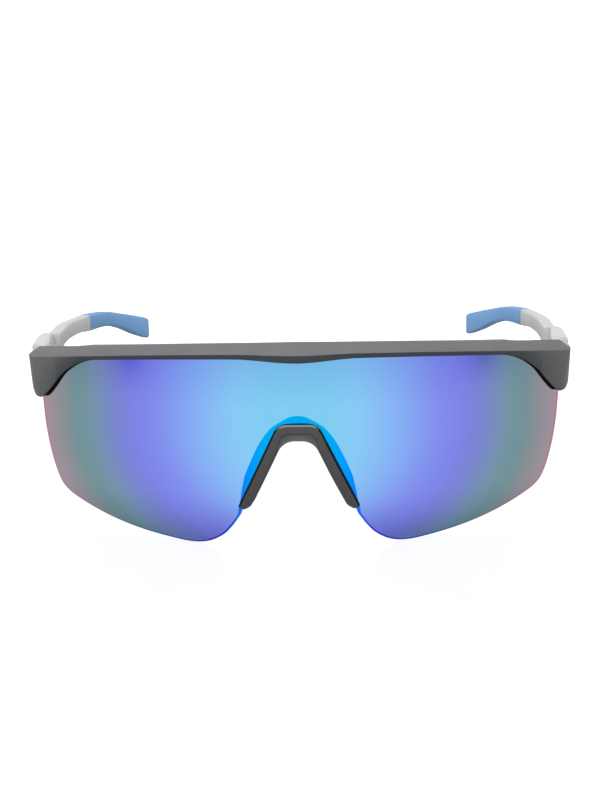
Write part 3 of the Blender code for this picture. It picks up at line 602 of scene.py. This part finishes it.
turn_back = from_worn.to_3x3()
shading = [None] * len(shield.data.loops)
for face, r in zip(shield.data.polygons, face_rows):
    if r in (side_row, rim_row, bevel_row, land_row):
        face.material_index = 1
    elif r > land_row:
        face.material_index = 2
    for loop in face.loop_indices:
        c, row = divmod(shield.data.loops[loop].vertex_index, per_column)
        _, facing, sideways, rounding = columns[c][row]
        if r in (side_row, land_row):
            normal = sideways
        elif r == last_row:
            normal = Vector((0.0, 0.0, 1.0))
        elif r > land_row:
            normal = -facing
        elif r == bevel_row or (r == rim_row and row > rim_row):
            normal = facing + sideways * math.tan(rim_turn) * (rounding - rim_least)
        else:
            normal = facing
        shading[loop] = turn_back @ normal.normalized()
shield.data.normals_split_custom_set(shading)


def worn_place(nodes, links, place):
    """Object coordinates turned back to the way the pair is worn: distance from the middle, and height."""
    turn = nodes.new("ShaderNodeMapping")
    turn.vector_type = "TEXTURE"
    turn.inputs["Location"].default_value = worn_move
    turn.inputs["Rotation"].default_value = (worn_tilt, 0.0, 0.0)
    links.new(place, turn.inputs["Vector"])
    split = nodes.new("ShaderNodeSeparateXYZ")
    links.new(turn.outputs["Vector"], split.inputs["Vector"])
    return maths(nodes, links, "ABSOLUTE", split.outputs["X"]), split.outputs["Z"]


def rising(nodes, links, value, start, run, curve):
    """0 before the start, rising along a curve to 1 a run further on."""
    share = maths(nodes, links, "DIVIDE", maths(nodes, links, "SUBTRACT", value, start), run)
    return maths(nodes, links, "POWER", maths(nodes, links, "MAXIMUM", share, 0.0), curve)


def colour_steps(nodes, links, steps, distance):
    """Colours that change smoothly along a distance."""
    ramp = nodes.new("ShaderNodeValToRGB")
    ramp.color_ramp.interpolation = "CARDINAL"
    stops = ramp.color_ramp.elements
    while len(stops) < len(steps):
        stops.new(0.5)
    for stop, (place, _) in zip(stops, steps):
        stop.position = place / coating_reach
    for stop, (_, levels) in zip(stops, steps):
        stop.color = colour(levels)
    links.new(maths(nodes, links, "DIVIDE", distance, coating_reach), ramp.inputs["Fac"])
    return ramp.outputs["Color"]


def tinted(nodes, links, base, tint, share):
    """A colour multiplied by a tint as far as a share says."""
    mix = nodes.new("ShaderNodeMix")
    mix.data_type = "RGBA"
    mix.blend_type = "MULTIPLY"
    mix.inputs["B"].default_value = (*tint, 1.0)
    links.new(share, mix.inputs["Factor"])
    links.new(base, mix.inputs["A"])
    return mix.outputs["Result"]


mirror, nodes, links, shader, place = new_finish("blue_mirror_coating")
distance, height = worn_place(nodes, links, place)
bend = rising(nodes, links, height, coating_bend_start, -coating_bend_run, coating_bend_curve)
bend_reach = maths(nodes, links, "MULTIPLY_ADD", distance, coating_bend_loss, coating_bend_middle)
bend = maths(nodes, links, "MULTIPLY", bend, bend_reach)
coat = colour_steps(nodes, links, coating_steps, maths(nodes, links, "ADD", distance, bend))
# Painted reflection: the coating is darker and more violet towards its top, for the bar that the mirror shows
# above it
bar_reflection_share = rising(nodes, links, height, bar_reflection_end, bar_reflection_full - bar_reflection_end, bar_reflection_curve)
coat = tinted(nodes, links, coat, bar_reflection_tint, bar_reflection_share)
low_share = rising(nodes, links, height, low_tint_start, -low_tint_run, low_tint_curve)
coat = tinted(nodes, links, coat, low_tint, maths(nodes, links, "MINIMUM", low_share, 1.0))
# A violet patch under the bar at each side, both set a little to the photo's right
across = nodes.new("ShaderNodeSeparateXYZ")
links.new(place, across.inputs["Vector"])
off_violet = maths(nodes, links, "SUBTRACT", across.outputs["X"], violet_shift)
off_violet = maths(nodes, links, "SUBTRACT", maths(nodes, links, "ABSOLUTE", off_violet), violet_place)
off_violet = maths(nodes, links, "ABSOLUTE", off_violet)
violet_share = maths(nodes, links, "MULTIPLY",
                     rising(nodes, links, off_violet, violet_half_width, -violet_half_width, violet_curve),
                     rising(nodes, links, height, violet_start, violet_run, violet_curve))
coat = tinted(nodes, links, coat, violet_tint, violet_share)
# The light that the coating throws on the bar and the nosepiece is grey, since its blue hardly tints them
bounce = nodes.new("ShaderNodeMix")
bounce.data_type = "RGBA"
bounce.inputs["B"].default_value = (bounce_grey, bounce_grey, bounce_grey, 1.0)
links.new(nodes.new("ShaderNodeLightPath").outputs["Is Diffuse Ray"], bounce.inputs["Factor"])
links.new(coat, bounce.inputs["A"])
links.new(bounce.outputs["Result"], shader.inputs["Base Color"])
shader.inputs["Metallic"].default_value = 1.0
haze = noise(nodes, links, place, haze_per_metre, haze_detail)
links.new(ranged(nodes, links, haze, 0.0, 1.0, mirror_polish, mirror_haze), shader.inputs["Roughness"])

polished_edge, nodes, links, shader, place = new_finish("polished_lens_edge")
distance, height = worn_place(nodes, links, place)
links.new(colour_steps(nodes, links, edge_steps, distance), shader.inputs["Base Color"])
shader.inputs["Metallic"].default_value = 1.0
shader.inputs["Roughness"].default_value = edge_roughness

tinted_back, nodes, links, shader, place = new_finish("tinted_lens_back")
smoke = noise(nodes, links, place, smoke_per_metre, smoke_detail)
links.new(two_tone(nodes, links, smoke, smoke_dark, smoke_light), shader.inputs["Base Color"])
shader.inputs["Roughness"].default_value = back_roughness

for finish in (mirror, polished_edge, tinted_back):
    shield.data.materials.append(finish)
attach(shield, "front")
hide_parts("lens")


# Nosepiece carrier
# A hard inverted U of dark nylon, clipped over the edge of the nose notch, with a rib behind it for the soft
# pad. Its front is a rounded bead, a little proud of the lens. Black along its outer edge is a painted shadow
# where it meets the lens, and a lighter grey on its lip under that at the top is a painted highlight, with a
# slightly smoother shine.

carrier_edge_round = 0.00055
carrier_round_steps = 6
carrier_smooth_angle = 30.0
carrier_pits_per_metre = 4200.0
carrier_pit_depth = 0.000010
carrier_grey = (80, 80, 83)
carrier_grey_light = (88, 88, 91)
carrier_roughness = 0.42
# Painted shadow along the bead's outer edge, where it meets the lens
painted_shadow_black = (8, 8, 9)
painted_shadow_black_light = (12, 12, 13)
painted_shadow_roughness = 0.60
# Painted highlight on the lip at the top, with a slightly smoother shine
highlight_grey = (126, 125, 126)
highlight_grey_light = (132, 131, 132)
highlight_roughness = 0.34
highlight_pit_depth = 0.000006
notch_middle = Vector((0.0, 0.0, -0.0320))
shadow_lean = 0.72
shadow_ease = 14.0
shadow_ease_start = 0.016
bead_back = -0.02594
bead_lean = 0.105
highlight_lean = 0.10
highlight_half = 0.0048

carrier = working_copy("nose_carrier", "nose_bead")
round_edges(carrier, carrier_edge_round, carrier_round_steps, carrier_smooth_angle)
carrier_nylon = moulded_finish("dark_grey_nylon", carrier_grey, carrier_grey_light, carrier_roughness,
                               carrier_pits_per_metre, carrier_pit_depth)
# Black that stands for the shadow along the bead's outer edge: a painted shadow
carrier_painted_shadow = moulded_finish("painted_shadow_seam", painted_shadow_black, painted_shadow_black_light, painted_shadow_roughness,
                              carrier_pits_per_metre, carrier_pit_depth)
# Lighter grey that stands for light on the lip at the top: a painted highlight, with a slightly smoother
# shine
carrier_painted_highlight = moulded_finish("painted_highlight_lip", highlight_grey, highlight_grey_light, highlight_roughness,
                             carrier_pits_per_metre, highlight_pit_depth)
for finish in (carrier_nylon, carrier_painted_shadow, carrier_painted_highlight):
    carrier.data.materials.append(finish)
# Painted shadow goes on the faces of the bead that lean well outwards, and a painted highlight on those at
# the top that lean less
for face in carrier.data.polygons:
    normal = to_worn.to_3x3() @ face.normal
    place = to_worn @ face.center - notch_middle
    outwards = place.x * normal.x + place.z * normal.z > 0 and place.y < bead_back - bead_lean * place.z
    lean = math.hypot(normal.x, normal.z)
    if outwards and lean > shadow_lean - shadow_ease * max(shadow_ease_start - place.z, 0.0):
        face.material_index = 1
    elif outwards and lean > highlight_lean and abs(place.x) < highlight_half and normal.y < 0:
        face.material_index = 2
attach(carrier, "front")
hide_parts("nose_carrier")


# Nose pad
# A soft rubber saddle pushed over the carrier's rib from behind, with two wings that rest on the nose. It is
# moulded in one piece, in a lighter grey than the carrier.

pad_edge_round = 0.00030
pad_round_steps = 3
pad_smooth_angle = 30.0
pad_grey = (184, 185, 190)
pad_grey_light = (192, 193, 198)
pad_roughness = 0.70
pad_pits_per_metre = 2600.0
pad_pit_depth = 0.000016

pad = working_copy("nose_pad", "nose_saddle")
round_edges(pad, pad_edge_round, pad_round_steps, pad_smooth_angle)
pad_rubber = moulded_finish("grey_rubber", pad_grey, pad_grey_light, pad_roughness,
                            pad_pits_per_metre, pad_pit_depth)
pad.data.materials.append(pad_rubber)
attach(pad, "front")
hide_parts("nose_pad")


# Temples
# Two arms moulded in a lighter grey nylon, each with a thick block at the hinge that steps down to a thin
# arm and ends in a tang inside the rubber tip.

arm_edge_round = 0.00020
arm_round_steps = 2
arm_smooth_angle = 35.0

for side in ("left", "right"):
    arm = working_copy(f"temple_{side}", f"temple_arm_{side}")
    round_edges(arm, arm_edge_round, arm_round_steps, arm_smooth_angle)
    arm.data.materials.append(temple_nylon)
    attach(arm, f"temple_{side}")
    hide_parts(f"temple_{side}")


# Temple tips
# Blue rubber sleeves pulled over the tangs, with blunt rounded ends. They are moulded to the curve that goes
# behind the ear, and their own grip holds them on.

tip_edge_round = 0.00030
tip_round_steps = 3
tip_smooth_angle = 30.0
tip_blue = (120, 164, 212)
tip_blue_light = (130, 174, 222)
tip_roughness = 0.66
tip_pits_per_metre = 2400.0
tip_pit_depth = 0.000018

tip_rubber = moulded_finish("blue_rubber", tip_blue, tip_blue_light, tip_roughness,
                            tip_pits_per_metre, tip_pit_depth)
for side in ("left", "right"):
    sleeve = working_copy(f"temple_tip_{side}", f"tip_sleeve_{side}")
    round_edges(sleeve, tip_edge_round, tip_round_steps, tip_smooth_angle)
    sleeve.data.materials.append(tip_rubber)
    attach(sleeve, f"temple_{side}")
    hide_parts(f"temple_tip_{side}")


# Hinges
# Stamped steel leaves with rolled knuckles, held by small pan-head screws, and a slotted pin screw down
# through the three knuckles of each.

steel_grey = (168, 168, 170)
steel_grey_light = (204, 204, 206)
steel_polish = 0.24
steel_satin = 0.42
brushing_stretch = (1.0, 1.0, 12.0)
brushing_per_metre = 900.0
brushing_detail = 4.0

steel, nodes, links, shader, place = new_finish("satin_steel")
stretch = nodes.new("ShaderNodeMapping")
stretch.inputs["Scale"].default_value = brushing_stretch
links.new(place, stretch.inputs["Vector"])
brushing = noise(nodes, links, stretch.outputs["Vector"], brushing_per_metre, brushing_detail)
links.new(two_tone(nodes, links, brushing, steel_grey, steel_grey_light), shader.inputs["Base Color"])
shader.inputs["Metallic"].default_value = 1.0
links.new(ranged(nodes, links, brushing, 0.0, 1.0, steel_polish, steel_satin), shader.inputs["Roughness"])
for name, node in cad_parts.items():
    if "hinge" in name or "screw" in name:
        for slot in node.material_slots:
            slot.material = steel
